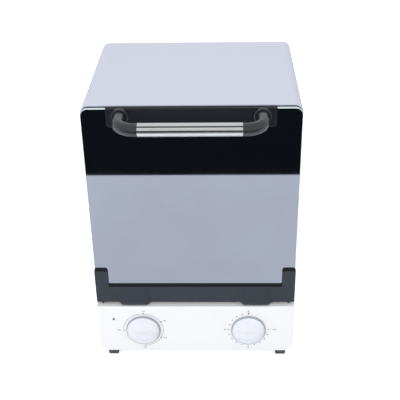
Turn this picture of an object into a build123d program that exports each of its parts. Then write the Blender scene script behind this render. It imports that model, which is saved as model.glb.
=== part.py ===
from build123d import *
import os
from math import cos, pi, radians, sin, sqrt

# Upright dry heat sterilizer with a drop-down mirror glass door. Millimetres.
# +X to the right, +Y to the back, +Z up. The origin is on the table, under the middle
# of the whole machine from the handle's front to the cable gland's end.

# Driving dimensions of the housing and the door
width = 258.0
housing_bottom = 17.0
housing_top = 369.0
overall_depth = 275.0
handle_reach = 48.0
sheet = 1.2
top_radius = 10.0
bottom_radius = 13.0
glass_thickness = 4.0
glass_top = 366.7

# Distances behind the front face of the door glass; forward is negative
glass_y = handle_reach - overall_depth / 2
panel_front = -9.0
shell_front = 5.0
frame_front = 8.0
chamber_back = 205.0
shell_back = 221.0

# Heights and spans
panel_top = 90.8
chamber_floor = 112.0
chamber_ceiling = 350.0
chamber_width = 206.0
rail_tops = (150.0, 212.0, 274.0)
rail_reach = 5.0
knob_x = 69.5
knob_z = 53.0
lamp_x = -108.0
lamp_z = 70.4

# Hinge line of the door, which the barrels, the eyes and the quadrant stays share
hinge_back = -3.5
hinge_z = 97.5
barrel_radius = 6.4
pin_radius = 1.5
stay_x = 114.0
stay_radius = 42.0
stay_width = 6.0
stay_thickness = 1.5

# Door handle
handle_z = 359.0
leg_x = 82.0
leg_radius = 7.5
bar_half = 58.5

os.makedirs("parts", exist_ok=True)


def back(distance):
    """Y of a place this far behind the front face of the glass."""
    return glass_y + distance


def facing(distance):
    """Plane that looks to the front; its own axes run right and up."""
    return Plane.XZ.offset(-back(distance))


def across(x):
    """Plane that looks to the right; its own axes run back and up."""
    return Plane.YZ.offset(x)


def level(z):
    return Plane.XY.offset(z)


def arched(span, bottom, top, radius):
    """Upright rectangle with its two upper corners rounded."""
    with BuildSketch() as outline:
        with Locations((0, (bottom + top) / 2)):
            Rectangle(span, top - bottom)
        fillet(outline.vertices().group_by(Axis.Y)[-1], radius)
    return outline.sketch


def rounded_wall(span, bottom, top, upper, lower):
    """The same with its lower corners rounded too."""
    with BuildSketch() as outline:
        add(arched(span, bottom, top, upper))
        fillet(outline.vertices().group_by(Axis.Y)[0], lower)
    return outline.sketch


def save(piece, name):
    piece.part.label = name
    export_step(piece.part, f"parts/{name}.step")


# Outer shell: one folded sheet with rounded corners, open below between its two
# inward flanges, with a return flange at the rear for the back panel
bottom_flange = 25.0
rear_flange = 12.0
inside_width = width - 2 * sheet
foot_x = 114.0
foot_spots = [(x, y) for x in (-foot_x, foot_x) for y in (back(12), back(200))]
foot_neck = 8.0
side_slot_z = (30, 38, 46, 54, 62, 70)

with BuildPart() as outer_shell:
    with BuildSketch(facing(shell_front)):
        add(rounded_wall(width, housing_bottom, housing_top, top_radius, bottom_radius))
    extrude(amount=-(shell_back - sheet - shell_front))
    offset(amount=-sheet, openings=outer_shell.faces().filter_by(Axis.Y))
    with BuildSketch(facing(shell_back - 2 * sheet)):
        add(
            rounded_wall(
                inside_width,
                housing_bottom + sheet,
                housing_top - sheet,
                top_radius - sheet,
                bottom_radius - sheet,
            )
        )
        with Locations((0, (housing_bottom + housing_top) / 2)):
            Rectangle(
                inside_width - 2 * rear_flange,
                housing_top - housing_bottom - 2 * rear_flange,
                mode=Mode.SUBTRACT,
            )
    extrude(amount=-sheet)
    with BuildSketch(level(housing_bottom)):
        with Locations((0, back((shell_front + shell_back - 2 * sheet) / 2))):
            Rectangle(
                width - 2 * (bottom_radius + bottom_flange - sheet),
                shell_back - 2 * sheet - shell_front,
            )
    extrude(amount=sheet, mode=Mode.SUBTRACT)
    with BuildSketch(level(housing_bottom)):
        with Locations(*foot_spots):
            Rectangle(foot_neck, foot_neck)
    extrude(amount=2 * sheet, mode=Mode.SUBTRACT)
    with BuildSketch(across(-width / 2)):
        with Locations(*[(back(180), z) for z in side_slot_z]):
            Rectangle(44, 3.2)
    extrude(amount=width, mode=Mode.SUBTRACT)

# Back panel: flat sheet on the rear flange, with two columns of pressed louvres
louvre_width = 58.0
louvre_height = 8.0
louvre_reach = 3.6
louvre_wall = 0.9
louvre_x = (-38, 38)
louvre_z = (206, 226, 246, 266, 286, 306)
low_louvre_z = (44, 64)
gland_x = -84.0
gland_z = 40.0
louvre_spots = [(x, z) for x in louvre_x for z in louvre_z + low_louvre_z]


def louvre_profile(z, wall):
    """Side profile of a louvre hood: open below, its roof sloped down to the sheet."""
    with BuildSketch() as profile:
        with BuildLine():
            foot = (back(shell_back), z)
            lip = (back(shell_back) + louvre_reach - wall, z)
            brow = (back(shell_back) + louvre_reach - wall, z + 2 - wall / 2)
            crown = (back(shell_back), z + louvre_height - wall)
            Polyline(foot, lip, brow, crown, close=True)
        make_face()
    return profile.sketch


with BuildPart() as back_panel:
    with BuildSketch(facing(shell_back - sheet)):
        add(rounded_wall(width, housing_bottom, housing_top, top_radius, bottom_radius))
        with Locations((gland_x, gland_z)):
            Circle(6.5, mode=Mode.SUBTRACT)
    extrude(amount=-sheet)
    for x, z in louvre_spots:
        with BuildSketch(across(x - louvre_width / 2)):
            add(louvre_profile(z, 0))
        extrude(amount=louvre_width)
    for x, z in louvre_spots:
        with BuildSketch(across(x - louvre_width / 2 + louvre_wall)):
            add(louvre_profile(z, louvre_wall))
            with Locations((back(shell_back - sheet / 2), z + (louvre_height - louvre_wall) / 4)):
                Rectangle(sheet, (louvre_height - louvre_wall) / 2)
        extrude(amount=louvre_width - 2 * louvre_wall, mode=Mode.SUBTRACT)

# Base plate: slotted sheet on the shell's lower flanges, with one lug for each spring
plate_z = housing_bottom + sheet
plate_half = 115.5
plate_front = 6.5
plate_back = shell_back - 2 * sheet - 0.4
spring_hole = 1.4
stay_hole_angle = -22.0
spring_back = hinge_back + stay_radius * cos(radians(stay_hole_angle))
lug_top = 40.0
lug_hole_z = 36.0

with BuildPart() as base_plate:
    with BuildSketch(level(plate_z)):
        with Locations((0, back((plate_front + plate_back) / 2))):
            Rectangle(2 * plate_half, plate_back - plate_front)
        with Locations(*foot_spots):
            Rectangle(foot_neck, foot_neck, mode=Mode.SUBTRACT)
        with Locations((0, back(120))):
            with GridLocations(24, 70, 6, 2):
                Rectangle(5, 52, mode=Mode.SUBTRACT)
    extrude(amount=sheet)
    for x in (-stay_x, stay_x):
        with BuildSketch(across(x - stay_thickness / 2)):
            with Locations((back(spring_back), (plate_z + lug_top) / 2)):
                Rectangle(14, lug_top - plate_z)
            chamfer(vertices().group_by(Axis.Y)[-1], 3)
            with Locations((back(spring_back), lug_hole_z)):
                RegularPolygon(spring_hole, 8, mode=Mode.SUBTRACT)
        extrude(amount=stay_thickness)

# Front frame: steel face round the chamber's mouth, with a turned-back flange
mouth_middle = (chamber_floor + chamber_ceiling) / 2
mouth_height = chamber_ceiling - chamber_floor
frame_bottom = 80.0
frame_gap = 0.2
frame_flange = 12.0
frame_span = inside_width - 2 * frame_gap
frame_top = housing_top - sheet - frame_gap
knuckle_x = 78.0

with BuildPart() as front_frame:
    with BuildSketch(facing(frame_front)):
        add(arched(frame_span, frame_bottom, frame_top, top_radius - sheet))
        with Locations((0, mouth_middle)):
            RectangleRounded(chamber_width, mouth_height, 6.8, mode=Mode.SUBTRACT)
        with Locations((-stay_x, 137.7), (stay_x, 137.7)):
            Rectangle(4, 11, mode=Mode.SUBTRACT)
    extrude(amount=-sheet)
    with BuildSketch(facing(frame_front + sheet)):
        add(arched(frame_span, frame_bottom, frame_top, top_radius - sheet))
        add(
            arched(frame_span - 2 * sheet, frame_bottom, frame_top - sheet, top_radius - 2 * sheet),
            mode=Mode.SUBTRACT,
        )
    extrude(amount=-frame_flange)

# Chamber liner: deep box of aluminised sheet with three pairs of pressed rack rails
plug_width = 10.0
heater_spots = [(back(y), z) for y in (62, 152) for z in (126, 336)]
liner_front = frame_front + sheet
capillary_hole = (-78.0, 300.0)

with BuildPart() as cavity_liner:
    with BuildSketch(facing(liner_front)):
        with Locations((0, mouth_middle)):
            RectangleRounded(chamber_width + 2 * sheet, mouth_height + 2 * sheet, 8)
    extrude(amount=-(chamber_back - liner_front))
    offset(amount=-sheet, openings=cavity_liner.faces().sort_by(Axis.Y)[0])
    with BuildSketch(facing(liner_front)):
        with Locations((0, mouth_middle)):
            Rectangle(chamber_width + 12, mouth_height + 12)
            RectangleRounded(chamber_width, mouth_height, 6.8, mode=Mode.SUBTRACT)
    extrude(amount=-sheet)
    for turn in (1, -1):
        wall = turn * chamber_width / 2
        nose = turn * (chamber_width / 2 - rail_reach)
        with BuildSketch(facing(16)):
            for z in rail_tops:
                with BuildLine():
                    Polyline((wall, z), (nose, z), (nose, z - 4), (wall, z - 9), close=True)
                make_face()
        extrude(amount=-172)
        outside = wall + turn * sheet
        trough = nose + turn * sheet
        with BuildSketch(facing(16 + sheet)):
            for z in rail_tops:
                with BuildLine():
                    Polyline(
                        (outside, z - sheet),
                        (trough, z - sheet),
                        (trough, z - 3.6),
                        (outside, z - 8.6),
                        close=True,
                    )
                make_face()
        extrude(amount=-(172 - 2 * sheet), mode=Mode.SUBTRACT)
    with BuildSketch(across(-chamber_width / 2 - 2 * sheet)):
        with Locations(*heater_spots):
            Rectangle(plug_width, plug_width)
    extrude(amount=chamber_width + 4 * sheet, mode=Mode.SUBTRACT)
    with BuildSketch(facing(chamber_back - 2 * sheet)):
        with Locations(capillary_hole):
            Rectangle(3, 3)
    extrude(amount=-3 * sheet, mode=Mode.SUBTRACT)

# Heat shield: sheet between the chamber and the controls, its sides turned down to
# the shell and notched where the quadrant stays swing through
shield_z = 101.0

with BuildPart() as heat_shield:
    with BuildSketch(level(shield_z)):
        with Locations((0, back((liner_front + 206) / 2))):
            Rectangle(inside_width, 206 - liner_front)
        with Locations((-stay_x - 3, back(25)), (stay_x + 3, back(25))):
            Rectangle(22, 42, mode=Mode.SUBTRACT)
        with Locations((0, back(liner_front + frame_flange / 2))):
            Rectangle(2 * inside_width, frame_flange + 1, mode=Mode.SUBTRACT)
    extrude(amount=sheet)
    for x in (-inside_width / 2, inside_width / 2 - sheet):
        with BuildSketch(level(shield_z)):
            with Locations((x + sheet / 2, back(126))):
                Rectangle(sheet, 156)
        extrude(amount=-10)

# Control panel: white moulding, open at the back, whose top is the ledge that the
# door's hinge barrels roll above
panel_wall = 2.5
panel_ledge_groove = -0.3

with BuildPart() as control_panel:
    with BuildSketch(facing(shell_front)):
        with Locations((0, (housing_bottom + panel_top) / 2)):
            Rectangle(width, panel_top - housing_bottom)
        fillet(vertices().group_by(Axis.Y)[0], bottom_radius)
    extrude(amount=shell_front - panel_front)
    chamfer(faces().sort_by(Axis.Y)[0].edges(), 1.2)
    offset(amount=-panel_wall, openings=control_panel.faces().sort_by(Axis.Y)[-1])
    with BuildSketch(level(panel_top - panel_wall)):
        with Locations((0, back((shell_front + frame_front) / 2))):
            Rectangle(frame_span, frame_front - shell_front)
    extrude(amount=panel_wall)
    with BuildSketch(level(panel_top)):
        with Locations((0, back(panel_ledge_groove))):
            Rectangle(width, 0.8)
    extrude(amount=-0.7, mode=Mode.SUBTRACT)
    with BuildSketch(facing(panel_front)):
        with Locations((-knob_x, knob_z), (knob_x, knob_z)):
            Circle(4.1)
        with Locations((lamp_x, lamp_z)):
            Circle(2.1)
    extrude(amount=-2 * panel_wall, mode=Mode.SUBTRACT)

# Hinge eyes: steel, welded to the front frame, each standing inside a door barrel
eye_radius = 3.6
eye_width = 16.0
arm_half = 1.5
running_gap = 0.05
knuckle_plate = 1.5

with BuildPart() as hinge_knuckle:
    with BuildSketch(across(-eye_width / 2)):
        with Locations((back(hinge_back), hinge_z)):
            RegularPolygon(eye_radius, 12)
        with Locations((back((hinge_back + frame_front) / 2), hinge_z)):
            Rectangle(frame_front - hinge_back, 2 * arm_half)
        with Locations((back(hinge_back), hinge_z)):
            Circle(pin_radius + running_gap, mode=Mode.SUBTRACT)
    extrude(amount=eye_width)
    with BuildSketch(facing(frame_front)):
        with Locations((0, hinge_z + arm_half)):
            Rectangle(32, 9)
    extrude(amount=knuckle_plate)

for turn, name in ((-1, "left"), (1, "right")):
    with BuildPart() as knuckle:
        add(hinge_knuckle.part.moved(Location((turn * knuckle_x, 0, 0))))
    save(knuckle, f"hinge_knuckle_{name}")

# Door glass: tempered pane with rounded top corners and polished edges
glass_width = 257.0
glass_bottom = 104.5
glass_corner = 9.0

with BuildPart() as door_glass:
    with BuildSketch(facing(glass_thickness)):
        add(arched(glass_width, glass_bottom, glass_top, glass_corner))
    extrude(amount=glass_thickness)
    front = door_glass.faces().sort_by(Axis.Y)[0]
    chamfer(front.outer_wire().edges(), 0.5)

# Lower frame of the door: moulded strip and ears in front of the glass, with a sill
# under it and two barrels that turn round the hinge eyes
strip_bottom = 94.0
strip_top = 121.5
ear_top = 146.0
ear_inside = 112.0
wall_front = -3.0
bevel_rise = 5.0
bevel_depth = 2.2
barrel_inside = 58.0
barrel_outside = 98.0
fairing_top = 112.0

with BuildPart() as barrel:
    with BuildSketch(across(barrel_inside)):
        with Locations((back(hinge_back), hinge_z)):
            Circle(barrel_radius)
        with Locations((back(wall_front / 2), (hinge_z + fairing_top) / 2)):
            Rectangle(-wall_front, fairing_top - hinge_z)
        make_hull()
    extrude(amount=barrel_outside - barrel_inside)
    with BuildSketch(facing(barrel_radius)):
        with BuildLine():
            Polyline(
                (barrel_inside, fairing_top + 1),
                (barrel_inside, strip_bottom + 3),
                (barrel_inside + 5.5, strip_bottom - 4),
                (barrel_outside - 5.5, strip_bottom - 4),
                (barrel_outside, strip_bottom + 3),
                (barrel_outside, fairing_top + 1),
                close=True,
            )
        make_face()
    extrude(amount=4 * barrel_radius, mode=Mode.INTERSECT)

knuckle_clearance = 0.4
slot_half = eye_width / 2 + 2
slot_front = hinge_back - eye_radius - knuckle_clearance
slot_top = hinge_z + eye_radius + knuckle_clearance

with BuildPart() as door_lower_frame:
    with BuildSketch(facing(0)):
        with BuildLine():
            Polyline(
                (-width / 2, strip_bottom),
                (width / 2, strip_bottom),
                (width / 2, ear_top),
                (ear_inside, ear_top),
                (ear_inside, strip_top),
                (-ear_inside, strip_top),
                (-ear_inside, ear_top),
                (-width / 2, ear_top),
                close=True,
            )
        make_face()
        fillet(vertices().filter_by_position(Axis.Y, ear_top - 1, ear_top + 1), 3.0)
    extrude(amount=-wall_front)
    for start, length, top in (
        (-width / 2, width / 2 - ear_inside, ear_top),
        (-ear_inside, 2 * ear_inside, strip_top),
        (ear_inside, width / 2 - ear_inside, ear_top),
    ):
        with BuildSketch(across(start)):
            with BuildLine():
                Polyline(
                    (back(wall_front), top - bevel_rise),
                    (back(wall_front + bevel_depth), top),
                    (back(wall_front), top),
                    close=True,
                )
            make_face()
        extrude(amount=length, mode=Mode.SUBTRACT)
    with BuildSketch(across(-width / 2)):
        with Locations((back(glass_thickness / 2), glass_bottom - 1.5)):
            Rectangle(glass_thickness, 3)
    extrude(amount=width)
    for turn in (1, -1):
        shape = barrel.part if turn > 0 else barrel.part.mirror(Plane.YZ)
        add(shape)
        with BuildSketch(across(turn * knuckle_x - slot_half)):
            with Locations((back((slot_front + 8) / 2), (slot_top + 88) / 2)):
                Rectangle(8 - slot_front, slot_top - 88)
        extrude(amount=2 * slot_half, mode=Mode.SUBTRACT)
        with BuildSketch(across(turn * (barrel_inside + 4))):
            with Locations((back(hinge_back), hinge_z)):
                Circle(pin_radius)
        extrude(amount=turn * 40, mode=Mode.SUBTRACT)
    with BuildSketch(across(-width / 2)):
        with Locations((back(barrel_radius / 2), glass_bottom + 5)):
            Rectangle(barrel_radius, 10)
    extrude(amount=width, mode=Mode.SUBTRACT)

# Hinge pins, pressed into the barrels and free in the eyes
for turn, name in ((-1, "left"), (1, "right")):
    with BuildPart() as hinge_pin:
        with BuildSketch(across(turn * (barrel_inside + 4))):
            with Locations((back(hinge_back), hinge_z)):
                Circle(pin_radius)
        extrude(amount=turn * 35)
    save(hinge_pin, f"hinge_pin_{name}")

# Clamp: steel strip with two ears behind the glass, drawn forward to the lower frame
with BuildPart() as door_clamp:
    with BuildSketch(facing(glass_thickness + sheet)):
        with BuildLine():
            Polyline(
                (-126.5, 101.5),
                (126.5, 101.5),
                (126.5, 144),
                (112, 144),
                (112, 120),
                (-112, 120),
                (-112, 144),
                (-126.5, 144),
                close=True,
            )
        make_face()
    extrude(amount=sheet)

# Quadrant stays: curved straps concentric with the hinge, welded to a foot on the
# clamp; the head at the tail end stops the door, and the spring hooks into the hole
foot_front = glass_thickness + sheet
foot_back = foot_front + sheet
tail_angle = -26.0
head_angle = 4.5
head_extra = 2.0
foot_angle = 77.0


def ring_sector(inner, outer, start, end):
    """Part of a flat ring round the hinge line, between two angles above the back."""
    with BuildSketch() as sector:
        with BuildLine():
            centre = (back(hinge_back), hinge_z)
            near = CenterArc(centre, inner, start, end - start)
            far = CenterArc(centre, outer, start, end - start)
            Line(near @ 0, far @ 0)
            Line(near @ 1, far @ 1)
        make_face()
    return sector.sketch


for turn, name in ((-1, "left"), (1, "right")):
    with BuildPart() as stay:
        with BuildSketch(across(turn * stay_x - stay_thickness / 2)):
            add(
                ring_sector(
                    stay_radius - stay_width / 2,
                    stay_radius + stay_width / 2,
                    tail_angle,
                    foot_angle,
                )
            )
            add(
                ring_sector(
                    stay_radius - stay_width / 2 - head_extra,
                    stay_radius + stay_width / 2 + head_extra,
                    tail_angle - head_angle,
                    tail_angle,
                )
            )
            with Locations((back((foot_front + foot_back) / 2 + 0.6), 136)):
                Rectangle(foot_back - foot_front + 1.2, 14)
            with Locations((back(spring_back), hinge_z + stay_radius * sin(radians(stay_hole_angle)))):
                RegularPolygon(spring_hole, 8, mode=Mode.SUBTRACT)
        extrude(amount=stay_thickness)
        with BuildSketch(facing(foot_back)):
            with Locations((turn * 119.5, 136)):
                Rectangle(12.5, 14)
        extrude(amount=sheet)
    save(stay, f"stay_{name}")


# Return springs, one for each side: an unbroken wire from the lug to the stay's tail
wire_radius = 0.7
coil_radius = 3.8
coil_turns = 3.5
hook_bend = 1.6
hook_leg = 11.0
tail_hole_z = hinge_z + stay_radius * sin(radians(stay_hole_angle))
coil_low = lug_hole_z + coil_radius + hook_leg + hook_bend
coil_high = tail_hole_z - coil_radius - hook_leg - hook_bend
coil_pitch = (coil_high - coil_low) / coil_turns


def coil_point(x, turn):
    angle = pi + 2 * pi * turn
    return Vector(
        x + coil_radius * cos(angle),
        back(spring_back) - hook_bend + coil_radius * sin(angle),
        coil_low + coil_pitch * turn,
    )


def coil_heading(turn):
    angle = pi + 2 * pi * turn
    run = 2 * pi * coil_radius
    return Vector(-run * sin(angle), run * cos(angle), coil_pitch).normalized()


def joined_arcs(start, heading, end, arrival):
    """Two arcs that leave start along heading and reach end along arrival."""
    chord = end - start
    spread = 2 * (1 - heading.dot(arrival))
    along = chord.dot(heading + arrival)
    reach = (sqrt(along**2 + spread * chord.dot(chord)) - along) / spread
    meeting = (start + end + (heading - arrival) * reach) / 2
    first = Edge.make_tangent_arc(start, heading, meeting)
    second = Edge.make_tangent_arc(meeting, first % 1, end)
    return [first, second]


def hook(x, hook_y, apex_z, rise, side):
    """Half circle through a hole, and the straight leg from it towards the coil."""
    over_z = apex_z + rise * coil_radius
    bend = Edge.make_three_point_arc(
        Vector(x - side * coil_radius, hook_y, over_z),
        Vector(x, hook_y, apex_z),
        Vector(x + side * coil_radius, hook_y, over_z),
    )
    leg_end = Vector(x + side * coil_radius, hook_y, over_z + rise * hook_leg)
    return bend, Edge.make_line(bend @ 1, leg_end), leg_end


def spring_path(x):
    """Lower hook, the coil in half turns, upper hook."""
    up = Vector(0, 0, 1)
    low_bend, low_leg, low_over = hook(x, back(spring_back), lug_hole_z, 1, -1)
    high_bend, high_leg, high_over = hook(x, back(spring_back), tail_hole_z, -1, 1)
    half_turns = [i / 2 for i in range(int(2 * coil_turns) + 1)]
    edges = [low_bend, low_leg]
    edges += joined_arcs(low_over, up, coil_point(x, 0), coil_heading(0))
    for turn, later in zip(half_turns, half_turns[1:]):
        edges += joined_arcs(
            coil_point(x, turn), coil_heading(turn), coil_point(x, later), coil_heading(later)
        )
    edges += joined_arcs(coil_point(x, coil_turns), coil_heading(coil_turns), high_over, up)
    edges += [high_leg, high_bend]
    return Wire(edges)


coil_samples = [coil_point(0, i / 24) for i in range(int(24 * coil_turns) + 1)]
coil_gap = min(
    (near - far).length
    for i, near in enumerate(coil_samples)
    for far in coil_samples[i + 12 :]
)
print(f"least gap between turns of a spring: {coil_gap - 2 * wire_radius:.2f} mm")

with BuildPart() as door_springs:
    for turn in (-1, 1):
        path = spring_path(turn * stay_x)
        with BuildSketch(Plane(origin=path @ 0, z_dir=path % 0)):
            RegularPolygon(wire_radius, 4)
        sweep(path=path)

# Handle bracket: moulded cap over the glass's top edge, its lip behind the glass
bracket_half = 98.5
bracket_bottom = 344.5
bracket_top = 369.5
lip_back = 5.8
lip_bottom = 352.0

with BuildPart() as handle_bracket:
    with BuildSketch(across(-bracket_half)):
        with BuildLine():
            Polyline(
                (back(-3), bracket_bottom),
                (back(-3), bracket_top),
                (back(4.6), bracket_top),
                (back(4.6), 367.4),
                (back(lip_back), 367.4),
                (back(lip_back), lip_bottom),
                (back(glass_thickness), lip_bottom),
                (back(glass_thickness), glass_top),
                (back(0), glass_top),
                (back(0), bracket_bottom),
                close=True,
            )
        make_face()
    extrude(amount=2 * bracket_half)
    corners = handle_bracket.edges().filter_by(Axis.Y).group_by(Axis.Z)[0]
    fillet(corners, 4)
    top_edge = handle_bracket.edges().filter_by(Axis.X).group_by(Axis.Z)[-1].sort_by(Axis.Y)[0]
    fillet(top_edge, 1.5)

# Handle elbows: cranked legs bent in short straight steps, each with a round foot on
# the bracket and a spigot that plugs into the bar
elbow_bend = 20.0
bar_radius = 7.75
bar_back = bar_radius - handle_reach
spigot_length = 10.0
spigot_radius = 5.0
collar_radius = 10.0
collar_height = 4.0
bend_steps = 6

with BuildPart() as handle_elbows:
    for turn in (-1, 1):
        bend = [90 * i / bend_steps for i in range(bend_steps + 1)]
        route = [(turn * leg_x, back(-3))]
        for angle in bend:
            out = leg_x - elbow_bend * (1 - cos(radians(angle)))
            route.append((turn * out, back(bar_back + elbow_bend * (1 - sin(radians(angle))))))
        route.append((turn * bar_half, back(bar_back)))
        with BuildLine(level(handle_z)) as leg:
            Polyline(*route)
        with BuildSketch(Plane(origin=(turn * leg_x, back(-3), handle_z), z_dir=(0, -1, 0))):
            RegularPolygon(leg_radius, 16)
        sweep(path=leg.wires()[0], transition=Transition.RIGHT)
        with BuildSketch(facing(-3)):
            with Locations((turn * leg_x, handle_z)):
                Circle(collar_radius)
        extrude(amount=collar_height)
        with BuildSketch(across(turn * bar_half)):
            with Locations((back(bar_back), handle_z)):
                RegularPolygon(spigot_radius, 12)
        extrude(amount=-turn * spigot_length)

# Handle bar: drawn aluminium tube with two pairs of long grooves
groove_width = 1.5
groove_depth = 1.0
groove_angles = (130.5, 169.5, 310.5, 349.5)

with BuildPart() as handle_bar:
    with BuildSketch(across(-bar_half)):
        with Locations((back(bar_back), handle_z)):
            Circle(bar_radius)
            Circle(spigot_radius + 0.05, mode=Mode.SUBTRACT)
            for angle in groove_angles:
                with PolarLocations(bar_radius, 1, start_angle=angle):
                    Rectangle(2 * groove_depth, groove_width, mode=Mode.SUBTRACT)
    extrude(amount=2 * bar_half)

# Knobs: a flat skirt, a low cone and a wing grip whose crown follows a dome
knob_radius = 22.5
skirt_height = 3.0
grip_half = 4.6
grip_height = 16.5
grip_reach = knob_radius - 1.5
cone_height = 6.8
shaft_radius = 3.0
shaft_flat = 2.0
knob_gap = 0.5
knob_bore_depth = 11.0

with BuildPart() as knob_blank:
    with BuildSketch(Plane.XY):
        Circle(knob_radius)
    extrude(amount=skirt_height)
    with BuildSketch(Plane.XY.offset(skirt_height)):
        RegularPolygon(knob_radius - 0.4, 24)
    extrude(amount=cone_height - skirt_height, taper=70)
    with BuildSketch(Plane.XZ.offset(-grip_half)):
        with BuildLine():
            half_crown = [(grip_reach, 1), (grip_reach, skirt_height)]
            half_crown += [(18.5, 7.2), (15.5, 11.2), (11.6, 14.4), (7, grip_height)]
            Polyline(half_crown + [(-x, z) for x, z in reversed(half_crown)], close=True)
        make_face()
    extrude(amount=2 * grip_half)
    crown = knob_blank.edges().filter_by_position(Axis.Z, cone_height + 1, grip_height + 1)
    chamfer(crown.filter_by(lambda edge: abs(abs(edge.center().Y) - grip_half) < 0.01), 1.2)
    with BuildSketch(Plane.XY):
        Circle(shaft_radius + running_gap)
        with Locations((0, shaft_flat + 2 + running_gap)):
            Rectangle(8, 4, mode=Mode.SUBTRACT)
    extrude(amount=knob_bore_depth, mode=Mode.SUBTRACT)


def on_panel(x, turned):
    """Place of a knob on the panel, its pointer turned from three o'clock."""
    seat = Plane((x, back(panel_front - knob_gap), knob_z), x_dir=(1, 0, 0), z_dir=(0, -1, 0))
    return seat.location * Location((0, 0, 0), (0, 0, turned))


for name, x, turned in (("temperature", -knob_x, 180), ("timer", knob_x, 0)):
    with BuildPart() as knob:
        add(knob_blank.part.moved(on_panel(x, turned)))
    save(knob, f"{name}_knob")

# Shafts of the thermostat and the timer, flatted where the knobs grip them
shaft_tip = 10.5
shaft_root = 10.0

for name, x, turned in (("thermostat", -knob_x, 180), ("timer", knob_x, 0)):
    with BuildPart() as shaft_blank:
        with BuildSketch(Plane.XY.offset(-shaft_root)):
            Circle(shaft_radius)
        extrude(amount=shaft_root + shaft_tip)
        with BuildSketch(Plane.XY):
            with Locations((0, shaft_flat + 2)):
                Rectangle(8, 4)
        extrude(amount=shaft_tip, mode=Mode.SUBTRACT)
    with BuildPart() as shaft:
        add(shaft_blank.part.moved(on_panel(x, turned)))
    save(shaft, f"{name}_shaft")

# Thermostat: plate, moulded case, bushing and two tabs
panel_inside = panel_front + panel_wall
control_depth = 24.0

with BuildPart() as thermostat:
    with BuildSketch(facing(panel_inside)):
        with Locations((-knob_x, knob_z)):
            Rectangle(46, 30)
            chamfer(vertices(), 3)
    extrude(amount=-1.2)
    with BuildSketch(facing(panel_inside + 1.2)):
        with Locations((-knob_x, knob_z)):
            Rectangle(34, 28)
            chamfer(vertices(), 4)
    extrude(amount=-(control_depth - 1.2))
    with BuildSketch(facing(panel_inside)):
        with Locations((-knob_x, knob_z)):
            RegularPolygon(4, 6)
    extrude(amount=panel_wall)
    with BuildSketch(facing(panel_front)):
        with Locations((-knob_x, knob_z)):
            Circle(shaft_radius + running_gap)
    extrude(amount=-(shaft_root + 1), mode=Mode.SUBTRACT)
    with BuildSketch(facing(panel_inside + control_depth)):
        with Locations((-knob_x - 9, knob_z - 6), (-knob_x + 9, knob_z - 6)):
            Rectangle(6.3, 0.8)
    extrude(amount=-9)

# Bulb and capillary: thin tube from the thermostat up behind the chamber, then
# through its back wall to the bulb under the upper heaters
capillary_radius = 0.9
bulb_radius = 2.5
bulb_back = 196.0
capillary_x, bulb_z = capillary_hole

with BuildPart() as thermostat_bulb:
    with BuildLine():
        route = FilletPolyline(
            (capillary_x, back(panel_inside + control_depth), knob_z + 6),
            (capillary_x, back(212), knob_z + 6),
            (capillary_x, back(212), bulb_z),
            (capillary_x, back(bulb_back), bulb_z),
            (capillary_x + 14, back(bulb_back), bulb_z),
            radius=6,
        )
    with BuildSketch(Plane(origin=route @ 0, z_dir=route % 0)):
        RegularPolygon(capillary_radius, 6)
    sweep()
    with BuildSketch(across(capillary_x + 13)):
        with Locations((back(bulb_back), bulb_z)):
            Circle(bulb_radius)
    extrude(amount=76)

# Timer: plate, clockwork case and bushing
with BuildPart() as timer:
    with BuildSketch(facing(panel_inside)):
        with Locations((knob_x, knob_z)):
            Rectangle(52, 40)
            chamfer(vertices(), 3)
    extrude(amount=-1.2)
    with BuildSketch(facing(panel_inside + 1.2)):
        with Locations((knob_x, knob_z)):
            Rectangle(42, 38)
            chamfer(vertices(), 8)
    extrude(amount=-(control_depth - 1.2))
    with BuildSketch(facing(panel_inside + control_depth)):
        with Locations((knob_x, knob_z)):
            Rectangle(30, 26)
            chamfer(vertices(), 5)
    extrude(amount=-6)
    with BuildSketch(facing(panel_inside)):
        with Locations((knob_x, knob_z)):
            RegularPolygon(4, 6)
    extrude(amount=panel_wall)
    with BuildSketch(facing(panel_front)):
        with Locations((knob_x, knob_z)):
            Circle(shaft_radius + running_gap)
    extrude(amount=-(shaft_root + 1), mode=Mode.SUBTRACT)
    with BuildSketch(facing(panel_inside + control_depth)):
        with Locations((knob_x - 10, knob_z + 16), (knob_x + 10, knob_z + 16)):
            Rectangle(6.3, 0.8)
    extrude(amount=-9)

# Indicator lamp: clear lens pushed into the panel from behind, with its two pins
with BuildPart() as indicator_lamp:
    with BuildSketch(facing(panel_inside)):
        with Locations((lamp_x, lamp_z)):
            Circle(2)
    extrude(amount=panel_wall + 0.9)
    with BuildSketch(facing(panel_inside)):
        with Locations((lamp_x, lamp_z)):
            Rectangle(6.4, 6.4)
    extrude(amount=-12)
    with BuildSketch(facing(panel_inside + 12)):
        with Locations((lamp_x, lamp_z - 1.2), (lamp_x, lamp_z + 1.2)):
            Rectangle(0.8, 0.6)
    extrude(amount=-8)

# Feet: tapered rubber blocks whose necks snap through the shell and the base plate
snap_z = plate_z + sheet

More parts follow.
